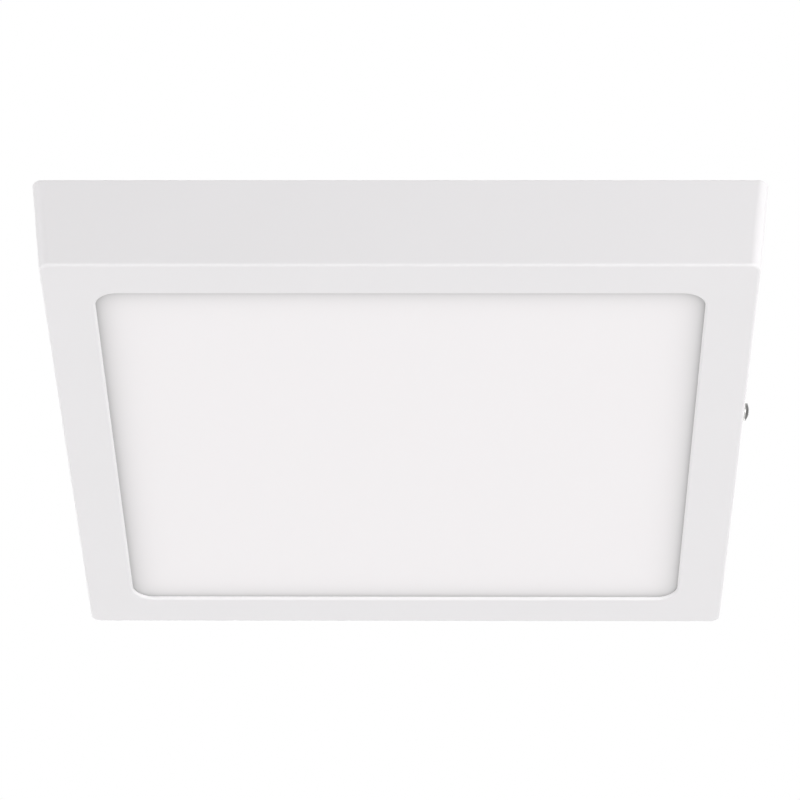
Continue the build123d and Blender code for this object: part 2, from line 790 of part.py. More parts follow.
# Terminal body: a chamber for each pole, square wire entries on both sides, a well for each button
body_plane = terminal_plane.offset(terminal_base_thickness)
with BuildPart() as terminal_body:
    with BuildSketch(body_plane):
        Rectangle(terminal_length, terminal_width)
    extrude(amount=terminal_height)
    fillet(terminal_body.edges().filter_by(Axis.Z), radius=terminal_edge_radius)
    fillet(terminal_body.faces().sort_by(Axis.Z)[-1].edges(), radius=terminal_edge_radius)
    with BuildSketch(body_plane):
        with GridLocations(0, pole_pitch, 1, pole_count):
            Rectangle(chamber_length, chamber_width)
    extrude(amount=chamber_height, mode=Mode.SUBTRACT)
    with BuildSketch(
        Plane(origin=(terminal_x, row_y, terminal_lead_z), x_dir=(0, 1, 0), z_dir=(1, 0, 0))
    ):
        with GridLocations(pole_pitch, 0, pole_count, 1):
            Rectangle(entry_width, entry_width)
    extrude(amount=terminal_length / 2, both=True, mode=Mode.SUBTRACT)
    end_faces = terminal_body.faces().sort_by(Axis.X)
    entry_wires = end_faces[0].inner_wires() + end_faces[-1].inner_wires()
    chamfer([edge for entry in entry_wires for edge in entry.edges()], length=entry_funnel)
    with BuildSketch(body_plane):
        with Locations((-button_offset, 0)):
            with GridLocations(0, pole_pitch, 1, pole_count):
                Rectangle(button_length + 2 * button_play, button_width + 2 * button_play)
    extrude(amount=terminal_height, mode=Mode.SUBTRACT)
terminal_body.part.label = "terminal_body"
export_step(terminal_body.part, "parts/terminal_body.step")

# Contact bars on the floor of each chamber
with BuildPart() as terminal_bars:
    with BuildSketch(body_plane):
        with GridLocations(0, pole_pitch, 1, pole_count):
            Rectangle(chamber_length - 2 * button_play, clip_width)
    extrude(amount=bar_thickness)
terminal_bars.part.label = "terminal_bars"
export_step(terminal_bars.part, "parts/terminal_bars.step")

# Spring clips: a bent strip in each chamber that grips the wires
clip_leg_x = chamber_length / 2 - clip_thickness - button_play
clip_floor = bar_thickness + clip_thickness / 2
with BuildPart() as terminal_clips:
    for pole_y in pole_ys:
        clip_foot = (terminal_x, pole_y, terminal_base_top_z)
        with BuildSketch(Plane(origin=clip_foot, x_dir=(1, 0, 0), z_dir=(0, -1, 0))):
            with BuildLine():
                FilletPolyline(
                    (clip_leg_x, clip_leg_height),
                    (clip_leg_x, clip_floor),
                    (-clip_leg_x, clip_floor),
                    (-clip_leg_x + entry_width, entry_height - clip_tip_drop),
                    radius=clip_bend_radius,
                )
            trace(line_width=clip_thickness)
        extrude(amount=clip_width / 2, both=True)
terminal_clips.part.label = "terminal_clips"
export_step(terminal_clips.part, "parts/terminal_clips.step")

# Release buttons: each slides down its well to open the clip under it
for pole_y, pole_name in zip(pole_ys, ("live", "neutral", "earth")):
    well_top = terminal_base_top_z + terminal_height
    foot_top = terminal_base_top_z + chamber_height - button_play
    with BuildPart() as release_button:
        with BuildSketch(Plane(origin=(terminal_x - button_offset, pole_y, foot_top - button_foot))):
            Rectangle(button_length + 2 * button_shoulder, button_width + 2 * button_shoulder)
        extrude(amount=button_foot)
        with BuildSketch(Plane(origin=(terminal_x - button_offset, pole_y, foot_top))):
            Rectangle(button_length, button_width)
        extrude(amount=well_top + button_stand - foot_top)
        fillet(release_button.faces().sort_by(Axis.Z)[-1].edges(), radius=button_edge_radius)
        button_top = (terminal_x - button_offset, pole_y, well_top + button_stand)
        with BuildSketch(Plane(origin=button_top)):
            Rectangle(button_slot_width, button_slot_length)
        extrude(amount=-button_slot_depth, mode=Mode.SUBTRACT)
    release_button.part.label = f"release_button_{pole_name}"
    export_step(release_button.part, f"parts/release_button_{pole_name}.step")

# Mains leads from the terminal to the driver
lead_start_x = terminal_x + clip_leg_x + clip_thickness / 2
lead_end_x = driver_x - board_length / 2
for pole_y, hole_side, lead_name in (
    (pole_ys[0], -1, "mains_lead_live"),
    (pole_ys[1], 1, "mains_lead_neutral"),
):
    hole_y = row_y + hole_side * mains_lead_spread
    mains_route = [
        (lead_start_x, pole_y, terminal_lead_z),
        (terminal_right + lead_straight, pole_y, terminal_lead_z),
        (driver_left - lead_straight, hole_y, driver_lead_z),
        (lead_end_x, hole_y, driver_lead_z),
    ]
    mains_lead = make_lead(mains_route, widest_radii(mains_route), mains_lead_radius)
    mains_lead.label = lead_name
    export_step(mains_lead, f"parts/{lead_name}.step")

# Earth lead from the terminal to the ring on the back plate
barrel_z = plate_top_z + earth_barrel_radius + lead_play
barrel_end_y = earth_y - earth_barrel_distance - earth_barrel_length
earth_route = [
    (lead_start_x, pole_ys[-1], terminal_lead_z),
    (terminal_right + lead_straight, pole_ys[-1], terminal_lead_z),
    (earth_x, (pole_ys[-1] + barrel_end_y) / 2, barrel_z),
    (earth_x, barrel_end_y, barrel_z),
]
earth_lead = make_lead(earth_route, widest_radii(earth_route), mains_lead_radius)
earth_lead.label = "earth_lead"
export_step(earth_lead, "parts/earth_lead.step")

# Earth ring: a crimped ring terminal under the earth screw
with BuildPart() as earth_ring:
    with BuildSketch(Plane(origin=(earth_x, earth_y, plate_top_z))):
        Circle(earth_ring_radius)
        with Locations((0, -(earth_barrel_distance + earth_barrel_radius) / 2)):
            Rectangle(2 * earth_barrel_radius, earth_barrel_distance + earth_barrel_radius)
    extrude(amount=earth_ring_thickness)
    with BuildSketch(
        Plane(origin=(earth_x, earth_y - earth_barrel_distance, barrel_z), z_dir=(0, -1, 0))
    ):
        Circle(earth_barrel_radius)
    extrude(amount=earth_barrel_length)
    with BuildSketch(Plane(origin=(earth_x, earth_y, plate_top_z))):
        Circle(earth_screw_radius + passage_play)
    extrude(amount=earth_ring_thickness, mode=Mode.SUBTRACT)
earth_ring.part.label = "earth_ring"
export_step(earth_ring.part, "parts/earth_ring.step")

# Earth screw
earth_screw_length = earth_ring_thickness + screw_reach
with BuildPart() as earth_screw:
    with Locations((earth_x, earth_y, plate_top_z + earth_ring_thickness)):
        add(
            make_screw(
                earth_screw_head_radius, earth_screw_head_height, earth_screw_radius, earth_screw_length
            )
        )
earth_screw.part.label = "earth_screw"
export_step(earth_screw.part, "parts/earth_screw.step")

# Output leads from the driver, down through the grommet, to the right LED board
output_start_x = driver_x + board_length / 2
for lead_side, lead_name in ((-1, "output_lead_positive"), (1, "output_lead_negative")):
    lead_y = row_y + lead_side * output_lead_spread
    output_route = [
        (output_start_x, lead_y, driver_lead_z),
        (grommet_x, lead_y, driver_lead_z),
        (grommet_x, lead_y, lead_under_z),
        (board_face, lead_y, lead_under_z),
    ]
    output_lead = make_lead(output_route, [output_bend_radius, 2 * output_lead_radius], output_lead_radius)
    output_lead.label = lead_name
    export_step(output_lead, f"parts/{lead_name}.step")

# Links: straight leads from the right LED board to the left one, on the far side of the light box
for link_y, lead_name in zip(link_ys, ("strip_link_positive", "strip_link_negative")):
    with BuildPart() as strip_link:
        with BuildSketch(Plane(origin=(-board_face, link_y, lead_under_z), z_dir=(1, 0, 0))):
            Circle(output_lead_radius)
        extrude(amount=2 * board_face)
    strip_link.part.label = lead_name
    export_step(strip_link.part, f"parts/{lead_name}.step")

# Ceiling bracket: a strip with folded edges, a hook on the left and a screw tab on the right
strip_z = -bracket_thickness / 2
bend_line_radius = bend_radius + bracket_thickness / 2
tongue_z = -hook_drop - bracket_thickness / 2
hook_x = inner_half(-hook_drop) - lug_depth - bend_radius - hook_play - bracket_thickness / 2
tongue_x = inner_half(-hook_drop - bracket_thickness) - hook_play


def tab_line(z):
    """Where the middle of the right tab stands at height z, alongside the drafted wall."""
    return inner_half(z) - tab_gap - bracket_thickness / 2 / draft_cosine


with BuildPart() as mounting_bracket:
    with BuildSketch(Plane.XZ):
        with BuildLine():
            FilletPolyline(
                (tab_line(-tab_drop), -tab_drop),
                (tab_line(strip_z), strip_z),
                (-hook_x, strip_z),
                (-hook_x, tongue_z),
                (-tongue_x, tongue_z),
                radius=bend_line_radius,
            )
        trace(line_width=bracket_thickness)
    extrude(amount=bracket_width / 2, both=True)
    flange_y = bracket_width / 2 - bracket_thickness / 2
    with BuildSketch(Plane.YZ):
        with BuildLine():
            FilletPolyline(
                (-flange_y, -bracket_flange_drop),
                (-flange_y, strip_z),
                (flange_y, strip_z),
                (flange_y, -bracket_flange_drop),
                radius=bend_line_radius,
            )
        trace(line_width=bracket_thickness)
    extrude(amount=hook_x - bracket_flange_setback, both=True)
    with BuildSketch(Plane.XY.offset(-bracket_thickness)):
        with GridLocations(ceiling_slot_spacing, 0, 2, 1):
            SlotOverall(ceiling_slot_length, ceiling_slot_width)
        Circle(bush_hole_radius)
    extrude(amount=bracket_thickness, mode=Mode.SUBTRACT)
    with BuildSketch(screw_plane.offset(-nut_depth)):
        Circle(side_screw_radius + tab_hole_play)
    extrude(amount=bracket_thickness, mode=Mode.SUBTRACT)
mounting_bracket.part.label = "mounting_bracket"
export_step(mounting_bracket.part, "parts/mounting_bracket.step")

# Clinch nut on the inside of the tab
with BuildPart() as clinch_nut:
    with BuildSketch(screw_plane.offset(-nut_depth)):
        RegularPolygon(nut_radius, 6)
        Circle(side_screw_radius + thread_play, mode=Mode.SUBTRACT)
    extrude(amount=-nut_height)
clinch_nut.part.label = "clinch_nut"
export_step(clinch_nut.part, "parts/clinch_nut.step")

# Cable bush in the middle of the bracket, for the supply cable
with BuildPart() as cable_bush:
    with Locations((0, 0, -bracket_thickness)):
        add(
            make_ring(
                bush_bore_radius,
                bush_hole_radius,
                bush_flange,
                bracket_thickness - bush_upper_recess,
                bush_lower_flange,
                0,
            )
        )
cable_bush.part.label = "cable_bush"
export_step(cable_bush.part, "parts/cable_bush.step")

# Washer under the head of the side screw
with BuildPart() as side_washer:
    with BuildSketch(screw_plane.offset(seat_gap)):
        Circle(side_washer_radius)
        Circle(side_screw_radius + washer_play, mode=Mode.SUBTRACT)
    extrude(amount=side_washer_thickness)
side_washer.part.label = "side_washer"
export_step(side_washer.part, "parts/side_washer.step")

# Side screw that holds the lamp on its bracket
with BuildPart() as side_screw:
    with Locations(screw_plane.offset(side_washer_thickness + 2 * seat_gap)):
        add(make_screw(side_head_radius, side_head_height, side_screw_radius, side_screw_length))
side_screw.part.label = "side_screw"
export_step(side_screw.part, "parts/side_screw.step")
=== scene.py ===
import json
import math

import bmesh
import bpy
from mathutils import Matrix, Vector


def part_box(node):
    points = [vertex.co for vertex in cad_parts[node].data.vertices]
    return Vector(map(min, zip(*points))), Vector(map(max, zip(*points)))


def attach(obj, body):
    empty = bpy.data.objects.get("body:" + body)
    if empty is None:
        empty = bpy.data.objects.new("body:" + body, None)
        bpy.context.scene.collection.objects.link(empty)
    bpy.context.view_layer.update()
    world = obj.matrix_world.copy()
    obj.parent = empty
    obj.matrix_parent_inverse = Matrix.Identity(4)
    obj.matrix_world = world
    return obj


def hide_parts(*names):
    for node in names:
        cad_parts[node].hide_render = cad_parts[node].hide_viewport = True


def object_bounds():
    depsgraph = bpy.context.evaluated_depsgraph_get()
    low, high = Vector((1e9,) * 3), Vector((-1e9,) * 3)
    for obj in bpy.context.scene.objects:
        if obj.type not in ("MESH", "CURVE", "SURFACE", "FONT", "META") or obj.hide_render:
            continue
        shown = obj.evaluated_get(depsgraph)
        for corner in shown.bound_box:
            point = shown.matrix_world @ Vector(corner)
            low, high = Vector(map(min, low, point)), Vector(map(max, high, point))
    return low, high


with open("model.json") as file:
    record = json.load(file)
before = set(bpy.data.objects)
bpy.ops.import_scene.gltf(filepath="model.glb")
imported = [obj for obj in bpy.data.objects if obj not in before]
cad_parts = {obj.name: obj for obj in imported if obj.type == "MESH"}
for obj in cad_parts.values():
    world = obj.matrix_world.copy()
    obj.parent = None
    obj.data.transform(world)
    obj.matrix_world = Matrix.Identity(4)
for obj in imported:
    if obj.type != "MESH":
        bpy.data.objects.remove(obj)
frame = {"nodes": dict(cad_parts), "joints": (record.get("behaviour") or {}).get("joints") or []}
cad_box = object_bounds()

# Housing: the square shell with its face border, die-cast in aluminium.
# It is powder coated white all over, which leaves a satin skin with a fine orange peel.
millimetre = 0.001
coat_white = (0.812, 0.797, 0.808, 1)
coat_shade = (0.795, 0.781, 0.791, 1)
coat_roughness = 0.46
peel_roughness = 0.06
peel_size = 1.1 * millimetre
peel_height = 0.012 * millimetre
mottle_size = 45 * millimetre


class Value:
    """A value in a finish's node tree: operators add Math nodes, and node() adds any other node."""

    def __init__(self, tree, socket=None):
        self.tree = tree
        self.socket = socket

    def node(self, kind, settings, sockets, output=0):
        """A new node of this kind, with its settings and its sockets' values or links."""
        made = self.tree.nodes.new("ShaderNode" + kind)
        for name, setting in settings.items():
            setattr(made, name, setting)
        for name, value in sockets.items():
            if isinstance(value, Value):
                self.tree.links.new(value.socket, made.inputs[name])
            else:
                made.inputs[name].default_value = value
        return Value(self.tree, made.outputs[output])

    def math(self, operation, first, second=0.0):
        return self.node("Math", {"operation": operation}, {0: first, 1: second})

    def __add__(self, other):
        return self.math("ADD", self, other)

    def __radd__(self, other):
        return self.math("ADD", other, self)

    def __sub__(self, other):
        return self.math("SUBTRACT", self, other)

    def __rsub__(self, other):
        return self.math("SUBTRACT", other, self)

    def __mul__(self, other):
        return self.math("MULTIPLY", self, other)

    def __rmul__(self, other):
        return self.math("MULTIPLY", other, self)

    def __truediv__(self, other):
        return self.math("DIVIDE", self, other)

    def __pow__(self, other):
        return self.math("POWER", self, other)

    def __mod__(self, other):
        return self.math("FLOORED_MODULO", self, other)

    def __abs__(self):
        return self.math("ABSOLUTE", self)

    def exponent(self):
        return self.math("EXPONENT", self)

    def largest(self, other):
        return self.math("MAXIMUM", self, other)

    def smallest(self, other):
        return self.math("MINIMUM", self, other)

    def below(self, other):
        return self.math("LESS_THAN", self, other)

    def mix(self, first, second):
        """The first colour where this value is 0 and the second where it is 1."""
        return self.node("Mix", {"data_type": "RGBA"}, {0: self, 6: first, 7: second}, output=2)

    def noise(self, size, detail=2.0):
        """Cloudy noise from 0 to 1 at this place, with lumps of the given size in metres."""
        return self.node("TexNoise", {}, {"Vector": self, "Scale": 1 / size, "Detail": detail})

    def cells(self, size):
        """Flat cells of the given size in metres at this place, each with its own value from 0 to 1."""
        colour = self.node("TexVoronoi", {}, {"Vector": self, "Scale": 1 / size}, output="Color")
        return colour.node("SeparateColor", {}, {"Color": colour})

    def stretched(self, x, y, z):
        """This place with each axis divided, so that a pattern grows along it."""
        return self.node("VectorMath", {"operation": "DIVIDE"}, {0: self, 1: (x, y, z)})

    def axis(self, name):
        """One of the place's axes, in metres."""
        return self.node("SeparateXYZ", {}, {"Vector": self}, output=name)

    def bump(self, height):
        """A normal for a shader, with this value as a relief of the given height in metres."""
        return self.node("Bump", {}, {"Height": self, "Distance": height})


def start_finish(name, **constants):
    """A new finish: its material, its shader's inputs and the place on the piece in metres."""
    material = bpy.data.materials.new(name)
    material.use_nodes = True
    shader = material.node_tree.nodes["Principled BSDF"]
    for socket_name, value in constants.items():
        shader.inputs[socket_name.replace("_", " ").title()].default_value = value
    place = Value(material.node_tree).node("TexCoord", {}, {}, output="Object")
    return material, shader.inputs, place


def feed(sockets, **values):
    """Links varying values to a shader's inputs."""
    for socket_name, value in values.items():
        value.tree.links.new(value.socket, sockets[socket_name.replace("_", " ").title()])


def finish_nodes(material, *names):
    """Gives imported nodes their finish."""
    for name in names:
        frame["nodes"][name].material_slots[0].material = material


powder_coat, sockets, place = start_finish("powder_coat")
peel = place.noise(peel_size, detail=1.0)
feed(
    sockets,
    base_color=place.noise(mottle_size).mix(coat_white, coat_shade),
    roughness=coat_roughness + peel_roughness * peel,
    normal=peel.bump(peel_height),
)
finish_nodes(powder_coat, "housing")

# Diffuser: the opal sheet behind the window, extruded acrylic with a satin face.
# It lies loose on the face border. Its colour is painted darker towards the window's edge as painted
# shade, for the border's shade and the light lost under it, with a painted contact shadow along the edge
# itself.
# The edge colour and the fades below are painted shade and a painted contact shadow.
opal_white = (0.878, 0.853, 0.862, 1)
opal_painted_shade = (0.4, 0.4, 0.4, 1)
border_shade_share = 0.64
border_shade_fade = 4.8 * millimetre
contact_shadow_share = 0.3
contact_shadow_fade = 0.6 * millimetre
opal_roughness = 0.42
satin_roughness = 0.05
satin_size = 0.5 * millimetre
satin_height = 0.004 * millimetre
window_half = 124.7 * millimetre
window_corner = 9.5 * millimetre

opal_sheet, sockets, place = start_finish("opal_sheet")
from_side = window_half - abs(place.axis("X"))
from_end = window_half - abs(place.axis("Y"))
across = window_corner - from_side
along = window_corner - from_end
round_part = (across.largest(0) ** 2 + along.largest(0) ** 2) ** 0.5
edge_distance = window_corner - round_part - across.largest(along).smallest(0)
# Painted shade near each side and end of the window, and a painted contact shadow at its edge.
side_shade = (from_side * (-1 / border_shade_fade)).exponent()
end_shade = (from_end * (-1 / border_shade_fade)).exponent()
contact_shadow = (edge_distance.largest(0) * (-1 / contact_shadow_fade)).exponent()
painted_edge_shade = border_shade_share * (side_shade + end_shade) + contact_shadow_share * contact_shadow
satin = place.noise(satin_size, detail=1.0)
feed(
    sockets,
    base_color=painted_edge_shade.smallest(1).mix(opal_white, opal_painted_shade),
    roughness=opal_roughness + satin_roughness * satin,
    normal=satin.bump(satin_height),
)
finish_nodes(opal_sheet, "diffuser")

# Light guide: a clear polished acrylic plate that the LEDs shine into from two sides.
# Rows of white dots printed on its back throw the light out of the face.
guide_clear = (0.8, 0.87, 0.86, 1)
dot_white = (0.92, 0.92, 0.92, 1)
dot_pitch = 2.4 * millimetre
dot_radius = 0.6 * millimetre
guide_roughness = 0.08
dot_roughness = 0.4

dotted_guide, sockets, place = start_finish("dotted_guide")
dot_x = place.axis("X") % dot_pitch - dot_pitch / 2
dot_y = place.axis("Y") % dot_pitch - dot_pitch / 2
dot = (dot_x ** 2 + dot_y ** 2).below(dot_radius ** 2)
feed(
    sockets,
    base_color=dot.mix(guide_clear, dot_white),
    roughness=guide_roughness + dot_roughness * dot,
)
finish_nodes(dotted_guide, "light_guide")

# Reflector sheet and pressure sheet: matt white film with expanded foam behind it.
# Both are cut from the roll and lie loose; the foam holds the sheets together under the back plate.
film_white = (0.9, 0.9, 0.9, 1)
film_shade = (0.86, 0.86, 0.87, 1)
foam_white = (0.86, 0.86, 0.85, 1)
# The hollows of the foam's cells are painted darker, as painted shade in the relief.
foam_hollow_shade = (0.7, 0.7, 0.7, 1)
foam_roughness = 0.95
foam_cell = 1.2 * millimetre
foam_relief = 0.15 * millimetre


def clouded_finish(name, light, dark, cloud_size, roughness, spread, detail=2.0, **constants):
    """A finish whose colour and roughness drift together in clouds of the given size in metres."""
    material, sockets, place = start_finish(name, **constants)
    cloud = place.noise(cloud_size, detail)
    feed(sockets, base_color=cloud.mix(light, dark), roughness=roughness + spread * cloud)
    return material


white_film = clouded_finish(
    "white_film",
    film_white,
    film_shade,
    cloud_size=20 * millimetre,
    roughness=0.55,
    spread=0.1,
)
finish_nodes(white_film, "reflector_sheet")

foam, sockets, place = start_finish("foam", roughness=foam_roughness)
# Painted shade: each cell is darker in its hollow and lighter towards its rim.
bubble = place.node("TexVoronoi", {}, {"Vector": place, "Scale": 1 / foam_cell})
feed(sockets, base_color=bubble.mix(foam_hollow_shade, foam_white), normal=bubble.bump(foam_relief))
finish_nodes(foam, "pressure_sheet")

# LED boards: two narrow boards with white solder resist and a copper track above and below the LEDs.
# Grey thermal tape sticks them to the rib of the housing, left and right.
resist_white = (0.84, 0.84, 0.82, 1)
track_white = (0.7, 0.69, 0.62, 1)
resist_roughness = 0.35
track_width = 0.5 * millimetre
track_offset = 2.4 * millimetre
track_height = 0.03 * millimetre
tape_grey = (0.33, 0.34, 0.36, 1)
tape_dark = (0.24, 0.25, 0.27, 1)
tape_roughness = 0.8
tape_grain = 0.8 * millimetre
strip_low, strip_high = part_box("led_board_left")
strip_middle = (strip_low.z + strip_high.z) / 2

led_board, sockets, place = start_finish("led_board", roughness=resist_roughness)
track = abs(abs(place.axis("Z") - strip_middle) - track_offset).below(track_width)
feed(sockets, base_color=track.mix(resist_white, track_white), normal=track.bump(track_height))
finish_nodes(led_board, "led_board_left", "led_board_right")

thermal_tape, sockets, place = start_finish("thermal_tape", roughness=tape_roughness)
feed(sockets, base_color=place.noise(tape_grain).mix(tape_grey, tape_dark))
finish_nodes(thermal_tape, "board_tapes")

# LEDs: moulded white packages with a window of yellow phosphor resin.
# They are soldered in one row to each board and face the edge of the light guide.
package_white = (0.85, 0.85, 0.83, 1)
phosphor = (0.86, 0.7, 0.22, 1)
package_roughness = 0.5
resin_gloss = 0.3
led_pitch = 4.8 * millimetre
phosphor_half_length = 1.3 * millimetre
phosphor_half_height = 0.95 * millimetre
led_low, led_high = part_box("leds_left")
led_middle = (led_low.z + led_high.z) / 2

led_package, sockets, place = start_finish("led_package")
along_row = abs((place.axis("Y") + led_pitch / 2) % led_pitch - led_pitch / 2)
up_board = abs(place.axis("Z") - led_middle)
resin = along_row.below(phosphor_half_length) * up_board.below(phosphor_half_height)
feed(
    sockets,
    base_color=resin.mix(package_white, phosphor),
    roughness=package_roughness - resin_gloss * resin,
)
finish_nodes(led_package, "leds_left", "leds_right")

# Back plate: aluminium sheet as it comes from the mill, with a bead pressed all round to stiffen it.
# The rolling leaves faint lines along the sheet. It is screwed to the housing and carries the electrics.
mill_light = (0.72, 0.725, 0.735, 1)
mill_dark = (0.58, 0.585, 0.595, 1)
mill_roughness = 0.3
line_stretch = 70.0
line_width = 0.35 * millimetre
line_height = 0.006 * millimetre
line_share = 0.6
line_roughness = 0.12
smear_size = 60 * millimetre
smear_share = 0.4
smear_roughness = 0.1

mill_aluminium, sockets, place = start_finish("mill_aluminium", metallic=1.0)
rolling = place.stretched(line_stretch, 1, 1).noise(line_width)
smear = place.noise(smear_size, detail=4.0)
feed(
    sockets,
    base_color=(line_share * rolling + smear_share * smear).mix(mill_light, mill_dark),
    roughness=mill_roughness + line_roughness * rolling + smear_roughness * smear,
    normal=rolling.bump(line_height),
)
finish_nodes(mill_aluminium, "back_plate")

# Small screws: pan heads with a cross recess, steel with bright zinc plating.
# They hold the back plate, the driver, the terminal and the earth ring.
zinc_light = (0.62, 0.63, 0.65, 1)
zinc_dark = (0.46, 0.47, 0.48, 1)

zinc_screw = clouded_finish(
    "zinc_screw",
    zinc_light,
    zinc_dark,
    cloud_size=1.6 * millimetre,
    roughness=0.24,
    spread=0.14,
    detail=3.0,
    metallic=1.0,
)
finish_nodes(zinc_screw, "back_plate_screws", "driver_screws", "terminal_screws", "earth_screw")

# Rubber rings: the grommet for the output leads and the bush for the supply cable, moulded in black.
# Each snaps into its hole by a groove.
rubber_black = (0.028, 0.028, 0.03, 1)
rubber_bloom = (0.05, 0.05, 0.052, 1)
rubber_roughness = 0.55
bloom_size = 6 * millimetre
bloom_roughness = 0.2
rubber_grain = 0.5 * millimetre
rubber_grain_height = 0.02 * millimetre

black_rubber, sockets, place = start_finish("black_rubber")
grain = place.noise(rubber_grain)
bloom = place.noise(bloom_size, detail=3.0)
feed(
    sockets,
    base_color=bloom.mix(rubber_black, rubber_bloom),
    roughness=rubber_roughness + bloom_roughness * bloom,
    normal=grain.bump(rubber_grain_height),
)
finish_nodes(black_rubber, "lead_grommet", "cable_bush")

# Driver case and lid: two shells moulded in white plastic with a spark-eroded grain, snapped together.
# The ears at the ends of the tray are screwed to the back plate.
case_white = (0.8, 0.8, 0.785, 1)
case_shade = (0.76, 0.76, 0.745, 1)
case_cloud = 25 * millimetre
case_roughness = 0.45
spark_size = 0.45 * millimetre
spark_height = 0.02 * millimetre
spark_roughness = 0.15

driver_plastic, sockets, place = start_finish("driver_plastic")
spark = place.noise(spark_size, detail=1.0)
feed(
    sockets,
    base_color=place.noise(case_cloud).mix(case_white, case_shade),
    roughness=case_roughness + spark_roughness * spark,
    normal=spark.bump(spark_height),
)
finish_nodes(driver_plastic, "driver_case", "driver_lid")

# Driver board: green solder resist over copper tracks, with moulded cream connectors at its ends.
# It stands on four posts of the tray and is sealed under the lid.
resist_green = (0.03, 0.16, 0.06, 1)
track_green = (0.08, 0.3, 0.12, 1)
green_roughness = 0.3
copper_pitch = 3.2 * millimetre
copper_height = 0.04 * millimetre
wander_size = 9 * millimetre
wander_reach = 4 * copper_pitch
connector_cream = (0.8, 0.79, 0.74, 1)
connector_shade = (0.74, 0.73, 0.68, 1)

green_board, sockets, place = start_finish("green_board", roughness=green_roughness)
wander = place.noise(wander_size) * wander_reach
copper = ((place.axis("Y") + wander) % copper_pitch).below(copper_pitch / 2)
feed(sockets, base_color=copper.mix(resist_green, track_green), normal=copper.bump(copper_height))
finish_nodes(green_board, "driver_board")

connector = clouded_finish(
    "connector",
    connector_cream,
    connector_shade,
    cloud_size=3 * millimetre,
    roughness=0.45,
    spread=0.1,
)
finish_nodes(connector, "driver_connectors")

# Driver components: sleeved capacitors, a ferrite choke and transformer, and two moulded chips.
# They are soldered to the driver board.
sleeve_blue = (0.02, 0.03, 0.09, 1)
sleeve_stripe = (0.45, 0.47, 0.5, 1)
sleeve_roughness = 0.25
stripe_width = 2.2 * millimetre
ferrite_dark = (0.07, 0.07, 0.075, 1)
ferrite_light = (0.14, 0.14, 0.145, 1)
ferrite_roughness = 0.5
sinter_size = 0.6 * millimetre
sinter_height = 0.02 * millimetre
sinter_roughness = 0.25
chip_black = (0.02, 0.02, 0.021, 1)
chip_grey = (0.045, 0.045, 0.046, 1)
chip_roughness = 0.6
chip_grain = 0.4 * millimetre
stripe_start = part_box("driver_capacitors")[0].x

capacitor_sleeve, sockets, place = start_finish("capacitor_sleeve", roughness=sleeve_roughness)
stripe = (place.axis("X") - stripe_start).below(stripe_width)
feed(sockets, base_color=stripe.mix(sleeve_blue, sleeve_stripe))
finish_nodes(capacitor_sleeve, "driver_capacitors")

ferrite, sockets, place = start_finish("ferrite")
sinter = place.noise(sinter_size, detail=4.0)
feed(
    sockets,
    base_color=sinter.mix(ferrite_dark, ferrite_light),
    roughness=ferrite_roughness + sinter_roughness * sinter,
    normal=sinter.bump(sinter_height),
)
finish_nodes(ferrite, "driver_choke", "driver_transformer")

moulded_chip, sockets, place = start_finish("moulded_chip", roughness=chip_roughness)
feed(sockets, base_color=place.noise(chip_grain).mix(chip_black, chip_grey))
finish_nodes(moulded_chip, "driver_chips")

# Supply terminal: a base and a body moulded in natural nylon, screwed to the back plate.
# Each pole has a square wire entry on both sides and a well for its release button.
nylon_white = (0.8, 0.795, 0.765, 1)
nylon_shade = (0.745, 0.74, 0.71, 1)
nylon_roughness = 0.36
nylon_grain = 0.6 * millimetre
nylon_grain_height = 0.012 * millimetre
flow_size = 5 * millimetre
flow_stretch = 3
flow_roughness = 0.12

natural_nylon, sockets, place = start_finish("natural_nylon")
flow = place.stretched(1, flow_stretch, 1).noise(flow_size, detail=3.0)
feed(
    sockets,
    base_color=flow.mix(nylon_white, nylon_shade),
    roughness=nylon_roughness + flow_roughness * flow,
    normal=place.noise(nylon_grain).bump(nylon_grain_height),
)
finish_nodes(natural_nylon, "terminal_base", "terminal_body")

# Contacts of the terminal: stamped brass bars, and clips bent from spring steel that grip the wires.
# There is one of each for every pole, closed in by the base and the body.
brass_light = (0.78, 0.6, 0.3, 1)
brass_dark = (0.6, 0.43, 0.19, 1)
spring_light = (0.7, 0.71, 0.72, 1)
spring_dark = (0.54, 0.55, 0.57, 1)
contact_roughness = 0.25
drawn_width = 0.3 * millimetre
drawn_stretch = 20
drawn_roughness = 0.15

for finish_name, node_name, light, dark in (
    ("stamped_brass", "terminal_bars", brass_light, brass_dark),
    ("spring_steel", "terminal_clips", spring_light, spring_dark),
):
    contact, sockets, place = start_finish(finish_name, metallic=1.0)
    drawn = place.stretched(drawn_stretch, 1, 1).noise(drawn_width)
    feed(
        sockets,
        base_color=drawn.mix(light, dark),
        roughness=contact_roughness + drawn_roughness * drawn,
    )
    finish_nodes(contact, node_name)

# Release buttons: one for each pole, moulded in grey plastic.
# Each slides down its well against the clip, which lifts it again.
button_grey = (0.36, 0.37, 0.385, 1)
button_dark = (0.3, 0.31, 0.325, 1)
button_cloud = 2 * millimetre
button_roughness = 0.3
button_cloud_roughness = 0.1
button_grain = 0.35 * millimetre
button_grain_height = 0.008 * millimetre

grey_button, sockets, place = start_finish("grey_button")
cloud = place.noise(button_cloud)
feed(
    sockets,
    base_color=cloud.mix(button_grey, button_dark),
    roughness=button_roughness + button_cloud_roughness * cloud,
    normal=place.noise(button_grain).bump(button_grain_height),
)
finish_nodes(grey_button, "release_button_live", "release_button_neutral", "release_button_earth")

